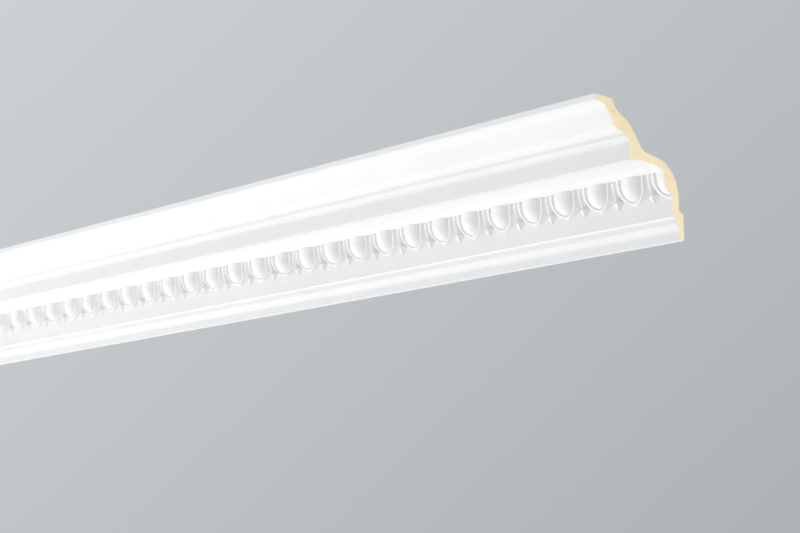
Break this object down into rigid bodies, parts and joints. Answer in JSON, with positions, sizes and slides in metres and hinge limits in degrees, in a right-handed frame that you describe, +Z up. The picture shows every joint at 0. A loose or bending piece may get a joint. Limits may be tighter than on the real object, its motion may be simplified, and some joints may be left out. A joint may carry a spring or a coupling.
{
  "type": "cornice moulding length",
  "caption": "Straight length of egg-and-dart cornice moulding in primed rigid foam, for the corner of a wall and a ceiling.",
  "frame": {"origin": "middle of the flat flange that is glued to the wall, in the wall's plane", "axes": "+X along the length, +Y into the wall, +Z up to the ceiling"},
  "size_m": [1.12, 0.125, 0.112],
  "materials": {
    "primed_foam": "smooth matt white primer over rigid foam"
  },
  "bodies": {
    "root": {"cornice": "primed_foam"}
  },
  "joints": []
}
